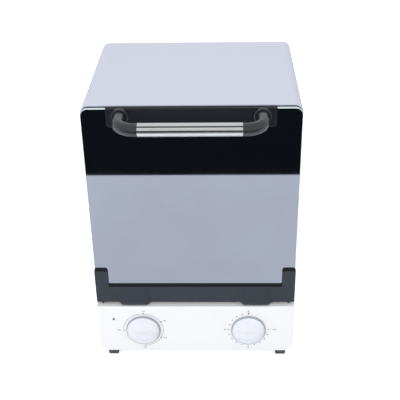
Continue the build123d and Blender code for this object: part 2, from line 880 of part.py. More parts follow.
with BuildPart() as foot_blank:
    with BuildSketch(Plane.XZ):
        with BuildLine():
            Polyline((-6.8, 0), (6.8, 0), (8, housing_bottom), (-8, housing_bottom), close=True)
        make_face()
    extrude(amount=10, both=True)
    with BuildSketch(Plane.YZ):
        with BuildLine():
            Polyline((-7.8, 0), (7.8, 0), (9, housing_bottom), (-9, housing_bottom), close=True)
        make_face()
    extrude(amount=10, both=True, mode=Mode.INTERSECT)
    corners = foot_blank.edges().filter_by_position(Axis.Z, 1, housing_bottom - 1)
    chamfer(corners, 1.8)
    with BuildSketch(level(housing_bottom)):
        Rectangle(foot_neck, foot_neck)
    extrude(amount=snap_z - housing_bottom)
    with BuildSketch(level(snap_z)):
        Rectangle(foot_neck + 3, foot_neck + 3)
    extrude(amount=2.5)

foot_names = ("front_left", "rear_left", "front_right", "rear_right")
for name, (x, y) in zip(foot_names, foot_spots):
    with BuildPart() as foot:
        add(foot_blank.part.moved(Location((x, y, 0))))
    save(foot, f"foot_{name}")

# Heaters: straight metal-sheathed tubes from side to side
tube_radius = 3.5
plug_nose = 2.0
wall_outside = chamber_width / 2 + sheet
tube_half = chamber_width / 2 - plug_nose
heater_names = ("lower_front", "upper_front", "lower_rear", "upper_rear")

for name, (y, z) in zip(heater_names, heater_spots):
    with BuildPart() as heater:
        with BuildSketch(across(-tube_half)):
            with Locations((y, z)):
                Circle(tube_radius)
        extrude(amount=2 * tube_half)
    save(heater, f"heater_{name}")

# Heater ends: square ceramic plugs through the liner's sides, each with a flange
# outside and a flat terminal tab
with BuildPart() as heater_ends:
    for turn in (-1, 1):
        with BuildSketch(across(turn * tube_half)):
            with Locations(*heater_spots):
                Rectangle(plug_width - 0.2, plug_width - 0.2)
        extrude(amount=turn * (wall_outside - tube_half))
        with BuildSketch(across(turn * wall_outside)):
            with Locations(*heater_spots):
                Rectangle(plug_width + 4, plug_width + 4)
        extrude(amount=turn * 4)
        with BuildSketch(across(turn * (wall_outside + 4))):
            with Locations(*heater_spots):
                Rectangle(0.8, 6.3)
        extrude(amount=turn * 8)

# Instrument tray: pressed sheet pan whose rim runs on the lowest rails
slide_gap = 0.3
tray_front = 18.0
tray_length = 172.0
tray_rim = 202.4
tray_wall = 1.0
tray_depth = 12.0
rim_width = 5.8
tray_z = rail_tops[0] + slide_gap
tray_middle = back(tray_front + tray_length / 2)

with BuildPart() as instrument_tray:
    with BuildSketch(level(tray_z)):
        with Locations((0, tray_middle)):
            Rectangle(tray_rim - 2 * rim_width, tray_length - 2 * rim_width)
            chamfer(vertices(), 6)
    extrude(amount=-tray_depth, taper=14)
    with BuildSketch(level(tray_z)):
        with Locations((0, tray_middle)):
            Rectangle(tray_rim, tray_length)
            chamfer(vertices(), 3)
    extrude(amount=tray_wall)
    with BuildSketch(level(tray_z + tray_wall)):
        with Locations((0, tray_middle)):
            Rectangle(tray_rim - 2 * rim_width - 2, tray_length - 2 * rim_width - 2)
            chamfer(vertices(), 5.4)
    extrude(amount=-tray_depth, taper=14, mode=Mode.SUBTRACT)

# Wire rack: rod frame on the middle rails, with welded cross wires
rack_front = 19.0
rack_length = 170.0
rack_width = 200.6
rod_radius = 1.9
wire_radius_rack = 1.2
rack_wires = 11
rack_z = rail_tops[1] + slide_gap + rod_radius

with BuildPart() as wire_rack:
    rack_middle = back(rack_front + rack_length / 2)
    with BuildSketch(level(rack_z - rod_radius)):
        with Locations((0, rack_middle)):
            Rectangle(rack_width + 2 * rod_radius, rack_length + 2 * rod_radius)
            chamfer(vertices(), 7)
        offset(amount=-2 * rod_radius, mode=Mode.SUBTRACT)
    extrude(amount=2 * rod_radius)
    rims = wire_rack.edges().filter_by(Axis.Z, reverse=True)
    chamfer(rims, 1.1)
    with BuildSketch(facing(rack_front)):
        with Locations((0, rack_z)):
            with GridLocations(rack_width / (rack_wires + 1), 1, rack_wires, 1):
                RegularPolygon(wire_radius_rack, 6)
    extrude(amount=-rack_length)
    with BuildSketch(across(-rack_width / 2)):
        with Locations((rack_middle, rack_z)):
            RegularPolygon(wire_radius_rack + 0.3, 6)
    extrude(amount=rack_width)

# Terminal block on the base plate, near the cable gland
block_x = -66.0
block_ways = 3

with BuildPart() as terminal_block:
    with BuildSketch(level(plate_z + sheet)):
        with Locations((block_x, back(176))):
            Rectangle(14 * block_ways, 18)
    extrude(amount=9)
    with BuildSketch(level(plate_z + sheet + 9)):
        with Locations((block_x, back(176))):
            Rectangle(14 * block_ways - 2, 8)
    extrude(amount=5)
    with BuildSketch(level(plate_z + sheet + 14)):
        with Locations((block_x, back(176))):
            with GridLocations(14, 1, block_ways, 1):
                Rectangle(5, 5)
    extrude(amount=-5, mode=Mode.SUBTRACT)

# Cable gland in the back panel: bush, flange, nose and the nut inside
gland_hole = 3.7
gland_end = overall_depth - handle_reach

with BuildPart() as cable_gland:
    with BuildSketch(facing(shell_back - sheet - 4)):
        with Locations((gland_x, gland_z)):
            RegularPolygon(10, 6)
    extrude(amount=-4)
    with BuildSketch(facing(shell_back - sheet)):
        with Locations((gland_x, gland_z)):
            Circle(6.4)
    extrude(amount=-sheet)
    with BuildSketch(facing(shell_back)):
        with Locations((gland_x, gland_z)):
            RegularPolygon(10, 6)
    extrude(amount=-2.4)
    with BuildSketch(facing(shell_back + 2.4)):
        with Locations((gland_x, gland_z)):
            RegularPolygon(8, 6)
    extrude(amount=-(gland_end - shell_back - 2.4))
    with BuildSketch(facing(shell_back - sheet - 4)):
        with Locations((gland_x, gland_z)):
            Circle(gland_hole)
    extrude(amount=-20, mode=Mode.SUBTRACT)

save(outer_shell, "outer_shell")
save(back_panel, "back_panel")
save(base_plate, "base_plate")
save(front_frame, "front_frame")
save(cavity_liner, "cavity_liner")
save(heat_shield, "heat_shield")
save(control_panel, "control_panel")
save(door_glass, "door_glass")
save(door_lower_frame, "door_lower_frame")
save(door_clamp, "door_clamp")
save(door_springs, "door_springs")
save(handle_bracket, "handle_bracket")
save(handle_elbows, "handle_elbows")
save(handle_bar, "handle_bar")
save(thermostat, "thermostat")
save(thermostat_bulb, "thermostat_bulb")
save(timer, "timer")
save(indicator_lamp, "indicator_lamp")
save(heater_ends, "heater_ends")
save(instrument_tray, "instrument_tray")
save(wire_rack, "wire_rack")
save(terminal_block, "terminal_block")
save(cable_gland, "cable_gland")
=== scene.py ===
from math import cos, pi, radians, sin, sqrt

import bmesh
import bpy
from mathutils import Matrix, Vector


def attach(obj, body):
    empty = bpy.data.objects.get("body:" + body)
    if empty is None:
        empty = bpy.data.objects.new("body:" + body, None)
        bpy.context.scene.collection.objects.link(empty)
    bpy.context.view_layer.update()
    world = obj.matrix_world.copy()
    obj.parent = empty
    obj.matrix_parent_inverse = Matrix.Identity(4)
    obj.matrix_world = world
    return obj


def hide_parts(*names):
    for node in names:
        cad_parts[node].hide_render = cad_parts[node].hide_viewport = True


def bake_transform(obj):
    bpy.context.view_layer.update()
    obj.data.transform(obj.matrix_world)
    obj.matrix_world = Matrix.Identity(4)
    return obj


# Upright dry heat sterilizer with a drop-down mirror glass door. Metres, in the frame
# of the solids: +X to the right, +Y to the back, +Z up, the origin on the table.
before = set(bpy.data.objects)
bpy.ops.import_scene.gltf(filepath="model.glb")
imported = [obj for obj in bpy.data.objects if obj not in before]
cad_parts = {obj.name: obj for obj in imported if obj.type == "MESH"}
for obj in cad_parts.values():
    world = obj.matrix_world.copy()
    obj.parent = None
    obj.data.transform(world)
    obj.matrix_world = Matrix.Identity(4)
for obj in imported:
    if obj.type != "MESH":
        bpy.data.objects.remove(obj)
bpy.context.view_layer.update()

# Camera: a short telephoto that looks down on the front from just right of the middle,
# tilted a little, as the machine is seen in a catalogue picture.
camera_place = (0.0348, -0.9439, 0.740)
camera_pitch = radians(30.02)
camera_turn = radians(1.77)
camera_roll = radians(-1.06)
camera_lens = 73.06

camera_data = bpy.data.cameras.new("camera")
camera_data.lens = camera_lens
camera_data.sensor_width = 36.0
camera = bpy.data.objects.new("camera", camera_data)
camera.matrix_world = (
    Matrix.Translation(camera_place)
    @ Matrix.Rotation(camera_turn, 4, "Z")
    @ Matrix.Rotation(pi / 2 - camera_pitch, 4, "X")
    @ Matrix.Rotation(camera_roll, 4, "Z")
)
bpy.context.scene.collection.objects.link(camera)
bpy.context.scene.camera = camera

# Feet: four tapered blocks of black rubber with rounded corners, pushed through the
# shell and the base plate; a shallow recess in the sole gives them grip.
mm = 0.001
glass_front = -89.5


def rgb(red, green, blue):
    """Linear colour of a tone as a screen shows it, 0 to 255."""
    tones = []
    for value in (red, green, blue):
        part = value / 255
        tones.append(part / 12.92 if part <= 0.04045 else ((part + 0.055) / 1.055) ** 2.4)
    return (*tones, 1.0)


def finish(name, dark, light, grain, gloss, relief, metallic=0.0, stretch=(1, 1, 1)):
    """A surface whose tone, gloss and relief vary with one noise of so many grains a metre."""
    material = bpy.data.materials.new(name)
    material.use_nodes = True
    tree = material.node_tree
    surface = tree.nodes["Principled BSDF"]
    surface.inputs["Metallic"].default_value = metallic
    place = tree.nodes.new("ShaderNodeTexCoord")
    pull = tree.nodes.new("ShaderNodeMapping")
    pull.inputs["Scale"].default_value = stretch
    noise = tree.nodes.new("ShaderNodeTexNoise")
    noise.inputs["Scale"].default_value = grain
    noise.inputs["Detail"].default_value = 4.0
    noise.inputs["Roughness"].default_value = 0.6
    tone = tree.nodes.new("ShaderNodeValToRGB")
    tone.color_ramp.elements[0].position = 0.3
    tone.color_ramp.elements[0].color = dark
    tone.color_ramp.elements[1].position = 0.7
    tone.color_ramp.elements[1].color = light
    polish = tree.nodes.new("ShaderNodeMapRange")
    polish.inputs["From Min"].default_value = 0.3
    polish.inputs["From Max"].default_value = 0.7
    polish.inputs["To Min"].default_value = gloss[0]
    polish.inputs["To Max"].default_value = gloss[1]
    bump = tree.nodes.new("ShaderNodeBump")
    bump.inputs["Strength"].default_value = relief[0]
    bump.inputs["Distance"].default_value = relief[1] * mm
    tree.links.new(place.outputs["Object"], pull.inputs["Vector"])
    tree.links.new(pull.outputs["Vector"], noise.inputs["Vector"])
    tree.links.new(noise.outputs["Fac"], tone.inputs["Fac"])
    tree.links.new(noise.outputs["Fac"], polish.inputs["Value"])
    tree.links.new(noise.outputs["Fac"], bump.inputs["Height"])
    tree.links.new(tone.outputs["Color"], surface.inputs["Base Color"])
    tree.links.new(polish.outputs["Result"], surface.inputs["Roughness"])
    tree.links.new(bump.outputs["Normal"], surface.inputs["Normal"])
    return material


def dress(node_name, material):
    """Gives a solid its finish, and shades its rounds smooth and its corners crisp."""
    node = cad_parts[node_name]
    node.data.materials.clear()
    node.data.materials.append(material)
    node.data.shade_smooth()
    weld = node.modifiers.new("weld", "WELD")
    weld.merge_threshold = 0.00001
    split = node.modifiers.new("corners", "EDGE_SPLIT")
    split.split_angle = radians(32)
    node.modifiers.new("normals", "WEIGHTED_NORMAL")
    return node


def spot(x, behind, z):
    """Place given in millimetres, its depth measured back from the face of the glass."""
    return Vector((x * mm, (glass_front + behind) * mm, z * mm))


def loft(rings, ends="both"):
    """Skin over rings of equally many points, closed with a cap at the ends asked for."""
    shape = bmesh.new()
    loops = [[shape.verts.new(point) for point in ring] for ring in rings]
    for near, far in zip(loops, loops[1:]):
        for i in range(len(near)):
            j = (i + 1) % len(near)
            shape.faces.new((near[i], near[j], far[j], far[i]))
    if ends in ("both", "first"):
        shape.faces.new(list(reversed(loops[0])))
    if ends in ("both", "last"):
        shape.faces.new(loops[-1])
    return shape


def piece(name, shapes, material, body, nodes=(), crisp=32):
    """One object from one or more shapes, shaded, riding its body if one is named."""
    mesh = bpy.data.meshes.new(name)
    whole = bmesh.new()
    for shape in shapes:
        part = bpy.data.meshes.new("part")
        bmesh.ops.recalc_face_normals(shape, faces=shape.faces)
        shape.to_mesh(part)
        shape.free()
        whole.from_mesh(part)
        bpy.data.meshes.remove(part)
    whole.to_mesh(mesh)
    whole.free()
    mesh.materials.append(material)
    mesh.shade_smooth()
    made = bpy.data.objects.new(name, mesh)
    bpy.context.scene.collection.objects.link(made)
    if crisp:
        split = made.modifiers.new("corners", "EDGE_SPLIT")
        split.split_angle = radians(crisp)
        made.modifiers.new("normals", "WEIGHTED_NORMAL")
    if body:
        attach(made, body)
    if nodes:
        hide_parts(*nodes)
    return made


def rounded(half_x, half_y, radius, steps=6):
    """Corners of a rounded rectangle round the origin, in millimetres, anticlockwise."""
    points = []
    for quarter, (side_x, side_y) in enumerate(((1, 1), (-1, 1), (-1, -1), (1, -1))):
        for step in range(steps + 1):
            angle = pi / 2 * (quarter + step / steps)
            points.append(
                (
                    side_x * (half_x - radius) + radius * cos(angle),
                    side_y * (half_y - radius) + radius * sin(angle),
                )
            )
    return points


foot_x = 114
foot_behind = {"front": 12, "rear": 200}
foot_rubber = finish("foot_rubber", rgb(58, 60, 62), rgb(74, 76, 78), 900, (0.6, 0.8), (0.2, 0.2))
foot_steps = (
    (5.6, 6.6, 0.9),
    (5.2, 6.2, 0.0),
    (6.5, 7.5, 0.0),
    (6.9, 7.9, 0.5),
    (7.8, 8.8, 16.2),
    (7.5, 8.5, 16.9),
)
for side, x in (("left", -foot_x), ("right", foot_x)):
    for end, behind in foot_behind.items():
        rings = [
            [spot(x + px, behind + py, z) for px, py in rounded(half_x, half_y, 2.2)]
            for half_x, half_y, z in foot_steps
        ]
        piece(
            f"rubber_foot_{end}_{side}", [loft(rings)], foot_rubber, "cabinet",
            [f"foot_{end}_{side}"],
        )

# Base plate: slotted zinc-plated sheet on the shell's lower flanges, with one upright
# lug at each side for the door's return springs.
zinc_plate = finish(
    "zinc_plate", rgb(150, 152, 156), rgb(178, 180, 182), 240, (0.32, 0.45), (0.08, 0.1), 1.0
)
dress("base_plate", zinc_plate)

# Outer shell and back panel: folded steel sheet with a pale powder coat that has a fine
# orange-peel surface. Six plated pan-head screws with a cross recess hold the back.
housing_enamel = finish(
    "housing_enamel", rgb(192, 196, 211), rgb(199, 203, 217), 1400, (0.34, 0.42), (0.12, 0.08)
)
bright_plate = finish(
    "bright_plate", rgb(190, 191, 193), rgb(214, 215, 216), 500, (0.12, 0.2), (0.03, 0.05), 1.0
)
dress("outer_shell", housing_enamel)
dress("back_panel", housing_enamel)


def ring_of(radius, count=32):
    """Places evenly round a circle, anticlockwise from three o'clock."""
    return [
        (radius * cos(2 * pi * i / count), radius * sin(2 * pi * i / count))
        for i in range(count)
    ]


def pan_head(x, behind, z, facing, radius=3.0, height=1.9):
    """Domed screw head with a cross recess; facing is -1 to the front or 1 to the back."""
    outline = [(1.0, 0.0), (1.0, 0.3), (0.93, 0.62), (0.76, 0.86), (0.52, 0.97), (0.36, 1.0)]
    rings = [
        [spot(x + px, behind + facing * rise * height, z + pz) for px, pz in ring_of(radius * part)]
        for part, rise in outline
    ]
    cross = []
    for i in range(32):
        angle = 2 * pi * i / 32
        reach = radius * (0.62 if i % 8 in (0, 1, 7) else 0.2)
        cross.append((reach * cos(angle), reach * sin(angle)))
    floor_cross = [(0.35 * px, 0.35 * pz) for px, pz in cross]
    top = [spot(x + px, behind + facing * height * 0.94, z + pz) for px, pz in cross]
    low = [spot(x + px, behind + facing * height * 0.4, z + pz) for px, pz in floor_cross]
    return loft(rings[:-1] + [top, low])


back_face = 221
back_screw_x = 121
back_screw_heights = (40, 194, 348)
back_spots = [(x, z) for x in (-back_screw_x, back_screw_x) for z in back_screw_heights]
piece(
    "back_screws", [pan_head(x, back_face, z, 1) for x, z in back_spots], bright_plate,
    "cabinet",
)

# Front frame: steel face round the chamber's mouth, coloured near black as painted
# shade of the dark gap round the door. The hinge eyes stand on it, and the closed
# door's glass comes to rest just before it.
frame_enamel = finish(
    "frame_enamel", rgb(20, 21, 23), rgb(28, 29, 31), 1100, (0.4, 0.5), (0.12, 0.08)
)
dress("front_frame", frame_enamel)

# Chamber: folded liner of aluminised steel with pressed rack rails, and the shield of
# the same sheet that keeps its heat from the controls below.
aluminised = finish(
    "aluminised_steel", rgb(158, 158, 158), rgb(182, 182, 180), 160, (0.36, 0.55), (0.1, 0.1), 1.0
)
dress("cavity_liner", aluminised)
dress("heat_shield", aluminised)

# Heaters: four straight metal-sheathed tubes across the chamber, two above and two
# below, darkened by use and held in unglazed white ceramic plugs in its sides.
heater_sheath = finish(
    "heater_sheath", rgb(70, 66, 66), rgb(104, 98, 94), 300, (0.4, 0.6), (0.15, 0.1), 1.0
)
ceramic = finish("ceramic", rgb(226, 222, 212), rgb(238, 235, 227), 700, (0.6, 0.75), (0.1, 0.1))
for heater in ("lower_front", "lower_rear", "upper_front", "upper_rear"):
    dress(f"heater_{heater}", heater_sheath)
dress("heater_ends", ceramic)


# Wire rack: bright plated steel rod bent into a frame, with round wires welded from
# front to back and one stiffener across the middle.
def tube(path, radius, sides=16, closed=False):
    """Round bar that follows a line of points, its ends capped unless it is closed."""
    count = len(path)
    headings = []
    for i in range(count):
        before = path[i - 1] if (i > 0 or closed) else path[i]
        after = path[(i + 1) % count] if (i < count - 1 or closed) else path[i]
        headings.append((after - before).normalized())
    across_bar = headings[0].orthogonal().normalized()
    rings = []
    for point, heading in zip(path, headings):
        across_bar = (across_bar - heading * across_bar.dot(heading)).normalized()
        third = heading.cross(across_bar)
        rings.append(
            [
                point + (across_bar * cos(2 * pi * i / sides) + third * sin(2 * pi * i / sides)) * radius
                for i in range(sides)
            ]
        )
    if closed:
        return loft(rings + [rings[0]], "none")
    return loft(rings)


rack_front = 19.0
rack_length = 170.0
rack_half = 100.3
rack_z = 214.2
rod_radius = 1.9
wire_radius = 1.2
wire_count = 11
stiffener_radius = 1.5
rack_middle = rack_front + rack_length / 2
rack_frame = [
    spot(px, rack_middle + py, rack_z) for px, py in rounded(rack_half, rack_length / 2, 8, 8)
]
rack_bars = [tube(rack_frame, rod_radius * mm, 16, True)]
for i in range(wire_count):
    x = -rack_half + 2 * rack_half * (i + 1) / (wire_count + 1)
    ends = (spot(x, rack_front, rack_z), spot(x, rack_front + rack_length, rack_z))
    rack_bars.append(tube(ends, wire_radius * mm, 14))
stiffener = (spot(-rack_half, rack_middle, rack_z), spot(rack_half, rack_middle, rack_z))
rack_bars.append(tube(stiffener, stiffener_radius * mm, 14))
piece("rack_rods", rack_bars, bright_plate, "rack", ["wire_rack"], 50)

# Instrument tray: pressed stainless pan with a satin grain along its length, rounded
# corners, sloped sides and a flat rim that runs on the lowest rails.
tray_steel = finish(
    "tray_steel", rgb(176, 177, 178), rgb(198, 199, 200), 420, (0.24, 0.36), (0.08, 0.05), 1.0,
    (1, 0.06, 1),
)
tray_middle = 104.0
tray_steps = (
    (101.2, 86.0, 4.0, 150.3), (101.2, 86.0, 4.0, 151.3), (94.4, 79.2, 7.0, 151.3),
    (93.6, 78.4, 6.6, 150.7), (91.6, 76.4, 6.0, 141.0), (90.4, 75.2, 5.0, 139.5),
    (89.0, 73.8, 4.4, 139.3), (89.0, 73.8, 4.4, 138.4), (91.2, 76.0, 5.4, 138.6),
    (92.6, 77.4, 6.4, 140.0), (95.2, 80.0, 7.6, 150.3),
)
tray_rings = [
    [spot(px, tray_middle + py, z) for px, py in rounded(half_x, half_y, radius, 8)]
    for half_x, half_y, radius, z in tray_steps
]
tray_rings.append(tray_rings[0])
tray_upper = loft(tray_rings[:7], "last")
tray_under = loft(tray_rings[7:], "first")
piece(
    "tray_pan", [tray_upper, tray_under], tray_steel, "tray", ["instrument_tray"], 40
)

# Controls behind the panel: thermostat and clockwork timer with their plated shafts,
# and the terminal block on the base plate. All are closed cases as bought in.
phenolic = finish("phenolic", rgb(38, 30, 26), rgb(52, 42, 36), 600, (0.45, 0.55), (0.1, 0.1))
dress("thermostat", phenolic)
dress("timer", zinc_plate)
dress("terminal_block", ceramic)
for shaft in ("thermostat_shaft", "timer_shaft"):
    dress(shaft, zinc_plate)

# Thermostat bulb: drawn copper, on a capillary tube that climbs behind the chamber and
# enters it through the back wall.
copper = finish(
    "copper", rgb(170, 108, 80), rgb(196, 134, 104), 260, (0.28, 0.4), (0.06, 0.05), 1.0
)


def bent(corners, radius, steps=8):
    """Points of a line whose corners are rounded with arcs of one radius."""
    points = [corners[0]]
    for before, corner, after in zip(corners, corners[1:], corners[2:]):
        back_along = (before - corner).normalized()
        on_along = (after - corner).normalized()
        half = back_along.angle(on_along) / 2
        reach = radius / abs(sin(half) / cos(half))
        centre = corner + (back_along + on_along).normalized() * (radius / sin(half))
        first = corner + back_along * reach - centre
        last = corner + on_along * reach - centre
        turn = first.angle(last)
        for step in range(steps + 1):
            part = step / steps
            points.append(
                centre + (first * sin((1 - part) * turn) + last * sin(part * turn)) / sin(turn)
            )
    points.append(corners[-1])
    return points


capillary_x = -78
capillary_rear = 212
thermostat_outlet = 59
bulb_behind = 196
bulb_z = 300
bulb_end = -64
capillary = bent(
    [
        spot(capillary_x, 17.5, thermostat_outlet),
        spot(capillary_x, capillary_rear, thermostat_outlet),
        spot(capillary_x, capillary_rear, bulb_z),
        spot(capillary_x, bulb_behind, bulb_z),
        spot(bulb_end, bulb_behind, bulb_z),
    ],
    6 * mm,
)
bulb_profile = ((0.9, -65.0), (2.1, -63.6), (2.5, -62.4), (2.5, 8.6), (2.1, 10.2), (0.7, 11.0))
bulb_rings = [
    [spot(x, bulb_behind + py, bulb_z + pz) for py, pz in ring_of(radius, 24)]
    for radius, x in bulb_profile
]
piece(
    "bulb_and_capillary", [tube(capillary, 0.9 * mm, 12), loft(bulb_rings)],
    copper, "cabinet", ["thermostat_bulb"],
)

# Cable gland: moulded nylon bush with a hexagon flange, a ribbed dome nut and the open
# bore that a mains lead passes through; its lock nut is inside the back panel.
gland_x = -84
gland_z = 40
nylon = finish("nylon", rgb(30, 30, 31), rgb(40, 40, 41), 900, (0.4, 0.5), (0.1, 0.1))


def gland_ring(radius, behind, corners=0.0, count=72):
    """Ring round the bore; corners is how far six flats cut into it, or none."""
    points = []
    for i in range(count):
        angle = 2 * pi * i / count
        flat = cos(pi / 6) / cos((angle % (pi / 3)) - pi / 6)
        reach = radius * (1 + corners * (flat - 1))
        points.append(spot(gland_x + reach * cos(angle), behind, gland_z + reach * sin(angle)))
    return points


gland_steps = (
    (3.7, 216.0, 0), (6.0, 215.8, 0), (8.6, 215.8, 1), (8.6, 219.8, 1), (6.4, 219.8, 0),
    (6.4, 221.0, 0), (9.0, 221.0, 1), (9.6, 221.4, 1), (9.6, 223.0, 1), (9.0, 223.4, 1),
    (7.2, 223.4, 0), (7.6, 223.8, 0), (7.5, 225.2, 0), (6.6, 226.4, 0), (5.2, 227.0, 0),
    (4.2, 227.0, 0), (3.7, 226.6, 0), (3.7, 216.0, 0),
)
gland_rings = [gland_ring(radius, behind, flats) for radius, behind, flats in gland_steps]
piece("gland_bush", [loft(gland_rings, "none")], nylon, "cabinet", ["cable_gland"])

# Control panel: white moulding with a fine spark texture and softly rounded edges; its
# top is the ledge that the door's barrels roll above, with a narrow drip groove.
panel_moulding = finish(
    "panel_moulding", rgb(240, 240, 240), rgb(246, 246, 245), 1600, (0.34, 0.42), (0.08, 0.05)
)
housing_half = 129.0
panel_low = 17.0
panel_high = 90.8
panel_corner = 13.0
knob_x = 69.5
knob_z = 53
lamp_x = -108
lamp_z = 70.4
shaft_hole = 4.1
lamp_hole = 2.1


def panel_ring(inset, behind):
    """Outline of the panel drawn in from its edge: square above, rounded below."""
    radius = max(panel_corner - inset, 1.0)
    half = housing_half - inset
    low = panel_low + inset
    points = [(half, panel_high - inset), (-half, panel_high - inset)]
    for step in range(13):
        angle = pi + pi / 2 * step / 12
        points.append((-half + radius + radius * cos(angle), low + radius + radius * sin(angle)))
    for step in range(13):
        angle = 1.5 * pi + pi / 2 * step / 12
        points.append((half - radius + radius * cos(angle), low + radius + radius * sin(angle)))
    return [spot(x, behind, z) for x, z in points]


def cut(target, tools):
    """Takes closed shapes out of a piece for good."""
    for tool in tools:
        mesh = bpy.data.meshes.new("tool")
        bmesh.ops.recalc_face_normals(tool, faces=tool.faces)
        tool.to_mesh(mesh)
        tool.free()
        knife = bpy.data.objects.new("tool", mesh)
        bpy.context.scene.collection.objects.link(knife)
        opening = target.modifiers.new("cut", "BOOLEAN")
        opening.operation = "DIFFERENCE"
        opening.solver = "EXACT"
        opening.object = knife
        target.modifiers.move(len(target.modifiers) - 1, 0)
        bpy.context.view_layer.update()
        kept = [modifier for modifier in target.modifiers if modifier.name != "cut"]
        for modifier in kept:
            modifier.show_viewport = False
        shaped = target.evaluated_get(bpy.context.evaluated_depsgraph_get())
        target.data = bpy.data.meshes.new_from_object(shaped)
        for modifier in kept:
            modifier.show_viewport = True
        target.modifiers.remove(target.modifiers["cut"])
        bpy.data.objects.remove(knife)


def block(low, high):
    """Box between two corners, as a tool for a cut or a plain run of a moulding."""
    shape = bmesh.new()
    bmesh.ops.create_cube(shape, size=1.0)
    for vert in shape.verts:
        vert.co = Vector(
            [(a + b) / 2 + (b - a) * c for a, b, c in zip(low, high, vert.co)]
        )
    return shape


def peg(x, z, radius, front, behind, count=48):
    """Round bar that points back, as a tool for a cut."""
    return loft(
        [
            [spot(x + px, depth, z + pz) for px, pz in ring_of(radius, count)]
            for depth in (front, behind)
        ]
    )


panel_rings = [panel_ring(2.5, -6.5), panel_ring(2.5, 5.0), panel_ring(0.0, 5.0)]
for step in range(7):
    angle = pi / 2 * step / 6
    panel_rings.append(panel_ring(1.5 - 1.5 * cos(angle), -7.5 - 1.5 * sin(angle)))
control_panel = piece(
    "panel", [loft(panel_rings)], panel_moulding, "cabinet", ["control_panel"], 25
)
cut(
    control_panel,
    [
        block(spot(-140, -0.7, 90.1), spot(140, 0.1, 95)),
        peg(-knob_x, knob_z, shaft_hole, -12, -4),
        peg(knob_x, knob_z, shaft_hole, -12, -4),
        peg(lamp_x, lamp_z, lamp_hole, -12, -4),
    ],
)
piece(
    "panel_ledge", [block(spot(-127.6, 5.0, 88.3), spot(127.6, 7.95, panel_high))],
    panel_moulding, "cabinet",
)

# Dial print: one colour of grey ink on the panel, 0.05 mm proud of it. The temperature
# scale is an arc with five marks, the timer's is a ring of dots; both have plain numbers.
dial_ink = finish("dial_ink", rgb(50, 52, 58), rgb(64, 66, 72), 2500, (0.5, 0.6), (0.05, 0.02))
ink_front = -9.05
ink_back = -8.98
dot_radius = 0.75
figure_size = 3.0


def ink_dot(x, z, radius):
    """Round printed mark."""
    return loft(
        [
            [spot(x + px, depth, z + pz) for px, pz in ring_of(radius, 14)]
            for depth in (ink_back, ink_front)
        ]
    )


def ink_bar(start, end, thickness):
    """Straight printed line between two places on the panel."""
    (x0, z0), (x1, z1) = start, end
    length = sqrt((x1 - x0) ** 2 + (z1 - z0) ** 2)
    nx, nz = -(z1 - z0) / length * thickness / 2, (x1 - x0) / length * thickness / 2
    corners = [(x0 + nx, z0 + nz), (x0 - nx, z0 - nz), (x1 - nx, z1 - nz), (x1 + nx, z1 + nz)]
    return loft([[spot(x, depth, z) for x, z in corners] for depth in (ink_back, ink_front)])


def ink_arc(x, z, radius, start, end, thickness, steps=60):
    """Printed line along a circle, between two angles in degrees from three o'clock."""
    inner, outer = [], []
    for step in range(steps + 1):
        angle = radians(start + (end - start) * step / steps)
        inner.append(
            (x + (radius - thickness / 2) * cos(angle), z + (radius - thickness / 2) * sin(angle))
        )
        outer.append(
            (x + (radius + thickness / 2) * cos(angle), z + (radius + thickness / 2) * sin(angle))
        )
    shape = bmesh.new()
    near = [shape.verts.new(spot(px, ink_front, pz)) for px, pz in inner]
    far = [shape.verts.new(spot(px, ink_front, pz)) for px, pz in outer]
    for i in range(steps):
        shape.faces.new((near[i], near[i + 1], far[i + 1], far[i]))
    return shape


def number(text, x, z, size):
    """Plain printed number, its middle at a place on the panel."""
    curve = bpy.data.curves.new("number", "FONT")
    curve.body = text
    curve.size = size * mm
    curve.align_x = "CENTER"
    curve.align_y = "CENTER"
    curve.resolution_u = 3
    maker = bpy.data.objects.new("number", curve)
    bpy.context.scene.collection.objects.link(maker)
    bpy.context.view_layer.update()
    mesh = bpy.data.meshes.new_from_object(maker)
    bpy.data.objects.remove(maker)
    shape = bmesh.new()
    shape.from_mesh(mesh)
    for vert in shape.verts:
        vert.co = spot(x, ink_front, z) + Vector((vert.co.x, 0, vert.co.y))
    return shape


dial_marks = ((-95.3, 51.5), (-68.7, 79.4), (-45.8, 65.9), (-46.3, 39.5), (-68.2, 25.7))
temperature_print = [ink_dot(x, z, 0.85) for x, z in dial_marks]
temperature_print.append(ink_arc(-knob_x, 52.6, 26.4, 176, -90, 0.36))
temperature_print += [
    number("OFF", -101.8, 51.6, figure_size),
    number("100", -68.7, 83.0, figure_size),
    number("150", -41.2, 67.6, figure_size),
    number("200", -41.4, 38.6, figure_size),
    number("250", -68.2, 22.2, figure_size),
]
piece("temperature_print", temperature_print, dial_ink, "cabinet", (), 0)

dot_reach = 26.6
timer_print = []
for step in range(16):
    angle = radians(-18 * step)
    timer_print.append(
        ink_dot(knob_x + dot_reach * cos(angle), knob_z + dot_reach * sin(angle), dot_radius)
    )
timer_print.append(ink_bar((knob_x, 77.0), (knob_x, 80.4), 0.4))
timer_print.append(ink_bar((67.6, 80.6), (71.4, 80.6), 0.5))
timer_print += [
    number("OFF", 103.6, knob_z, figure_size),
    number("20", knob_x, 22.6, figure_size),
    number("40", 38.6, knob_z, figure_size),
    number("60", knob_x, 83.4, figure_size),
]
piece("timer_print", timer_print, dial_ink, "cabinet", (), 0)

